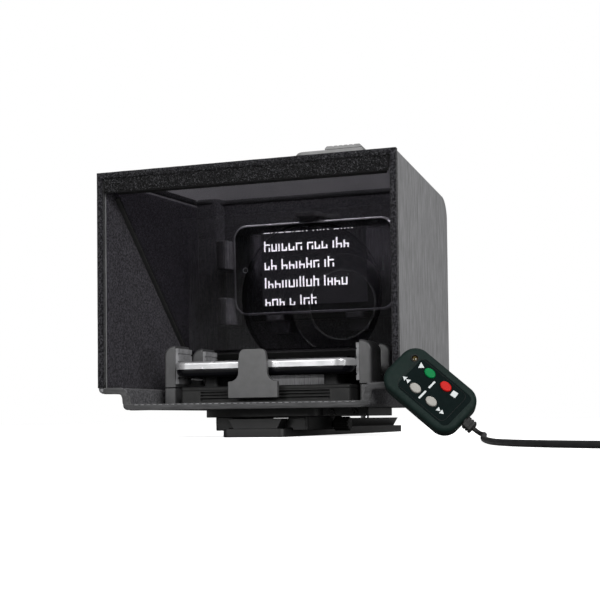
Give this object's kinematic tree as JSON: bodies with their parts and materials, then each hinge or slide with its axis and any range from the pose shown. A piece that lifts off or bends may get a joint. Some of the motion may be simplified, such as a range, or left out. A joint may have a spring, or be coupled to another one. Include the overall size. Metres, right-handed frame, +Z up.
{
  "type": "teleprompter",
  "caption": "Compact teleprompter: fabric hood, tilted beam splitter over a clamping handset cradle, slide-rail mount, lens sleeve with ring, and a wired remote.",
  "frame": {"origin": "mouth of the tripod socket, in the underside of the rail, on the hood's mid-plane", "axes": "+Z up, -Y out of the hood's open mouth, +Y along the lens axis towards the camera, +X to the right seen from the mouth"},
  "size_m": [0.3791, 0.5472, 0.1656],
  "materials": {
    "outer_fabric": "woven, brushed",
    "felt": "napped felt",
    "binding": "woven tape",
    "loop_tape": "hook-and-loop pile",
    "splitter_glass": "half-silvered",
    "black_plastic": "matte moulded",
    "grey_plastic": "satin moulded",
    "tab_plastic": "satin moulded",
    "pad_rubber": "ribbed",
    "black_rubber": "matte",
    "black_metal": "black anodised",
    "grey_metal": "satin anodised",
    "steel": "machined",
    "bright_bezel": "polished",
    "handset_black": "gloss",
    "screen_glass": "gloss",
    "remote_plastic": "soft touch",
    "remote_dark": "matte label",
    "key_green": "satin",
    "key_red": "satin",
    "key_grey": "satin",
    "circuit_board": "lacquered",
    "cord_jacket": "matte"
  },
  "bodies": {
    "base": {"base_rail": "black_metal", "rail_pads": "black_rubber", "remote_top_shell": "remote_plastic", "remote_bottom_shell": "remote_plastic", "remote_label": "remote_dark", "remote_board": "circuit_board", "remote_relief": "cord_jacket", "remote_cord": "cord_jacket", "cord_coil": "cord_jacket", "plug_body": "cord_jacket", "plug_tip": "steel"},
    "hood": {"left_wall": "outer_fabric", "right_wall": "outer_fabric", "top_panel": "outer_fabric", "rear_panel": "outer_fabric", "tray_shell": "outer_fabric", "left_lining": "felt", "right_lining": "felt", "top_lining": "felt", "front_binding": "binding", "tray_hem": "binding", "loop_strip": "loop_tape", "beam_splitter": "splitter_glass", "glass_channels": "black_plastic", "glass_top_rail": "black_plastic", "glass_bottom_stop": "black_plastic", "tab_plate": "tab_plastic", "tab_grip": "tab_plastic", "lens_flange": "black_plastic", "lens_sleeve": "felt", "lens_ring": "black_metal", "adapter_ring": "grey_metal", "cradle_base": "black_plastic", "cradle_cover": "black_plastic", "cradle_pads": "black_rubber", "cradle_screws": "steel", "pinion_pin": "steel", "rear_feet": "grey_plastic", "handset_back": "handset_black", "handset_bezel": "bright_bezel", "handset_screen": "screen_glass", "mount_plate": "black_metal", "rail_carriage": "black_metal"},
    "left_clamp": {"left_arm": "grey_plastic", "left_jaw": "grey_plastic", "left_jaw_pads": "pad_rubber"},
    "right_clamp": {"right_arm": "grey_plastic", "right_jaw": "grey_plastic", "right_jaw_pads": "pad_rubber"},
    "pinion": {"pinion": "black_plastic"},
    "front_clip": {"front_clip": "grey_plastic"},
    "handset_button": {"handset_button": "handset_black"},
    "clamp_knob": {"clamp_knob": "black_plastic"},
    "ring_screw": {"ring_screw": "black_metal"},
    "camera_screw": {"camera_screw": "steel"},
    "green_button": {"green_button": "key_green"},
    "red_button": {"red_button": "key_red"},
    "rewind_button": {"rewind_button": "key_grey"},
    "forward_button": {"forward_button": "key_grey"}
  },
  "joints": [
    {"name": "hood_slide", "type": "slide", "parent": "base", "child": "hood", "axis": [0, 1, 0], "range_m": [0, 0.02]},
    {"name": "left_clamp_slide", "type": "slide", "parent": "hood", "child": "left_clamp", "axis": [-1, 0, 0], "range_m": [0, 0.005]},
    {"name": "right_clamp_slide", "type": "slide", "parent": "hood", "child": "right_clamp", "axis": [1, 0, 0], "range_m": [0, 0.005]},
    {"name": "pinion_spin", "type": "hinge", "parent": "hood", "child": "pinion", "pos_m": [0.0012, 0, 0.025], "axis": [0, 0, 1], "range_deg": [0, 72]},
    {"name": "front_clip_slide", "type": "slide", "parent": "hood", "child": "front_clip", "axis": [0, -1, 0], "range_m": [0, 0.008]},
    {"name": "clamp_knob_turn", "type": "hinge", "parent": "hood", "child": "clamp_knob", "pos_m": [0.031, 0.014, 0.0073], "axis": [1, 0, 0], "range_deg": [0, 360]},
    {"name": "ring_screw_turn", "type": "hinge", "parent": "hood", "child": "ring_screw", "pos_m": [0, 0.131, 0.13], "axis": [0, 0, 1], "range_deg": [0, 360]},
    {"name": "camera_screw_slide", "type": "slide", "parent": "base", "child": "camera_screw", "axis": [0, 1, 0], "range_m": [-0.016, 0.016]},
    {"name": "handset_button_press", "type": "slide", "parent": "hood", "child": "handset_button", "axis": [0, 0, -1], "range_m": [0, 0.0004], "stiffness_N_per_m": 300},
    {"name": "green_button_press", "type": "slide", "parent": "base", "child": "green_button", "axis": [-0.2369, 0.9093, -0.342], "range_m": [0, 0.0008], "stiffness_N_per_m": 300},
    {"name": "red_button_press", "type": "slide", "parent": "base", "child": "red_button", "axis": [-0.2369, 0.9093, -0.342], "range_m": [0, 0.0008], "stiffness_N_per_m": 300},
    {"name": "rewind_button_press", "type": "slide", "parent": "base", "child": "rewind_button", "axis": [-0.2369, 0.9093, -0.342], "range_m": [0, 0.0008], "stiffness_N_per_m": 300},
    {"name": "forward_button_press", "type": "slide", "parent": "base", "child": "forward_button", "axis": [-0.2369, 0.9093, -0.342], "range_m": [0, 0.0008], "stiffness_N_per_m": 300}
  ],
  "couplings": [
    {"joint": "right_clamp_slide", "follows": "left_clamp_slide", "ratio": 1},
    {"joint": "pinion_spin", "follows": "left_clamp_slide", "rad_per_m": 250}
  ]
}
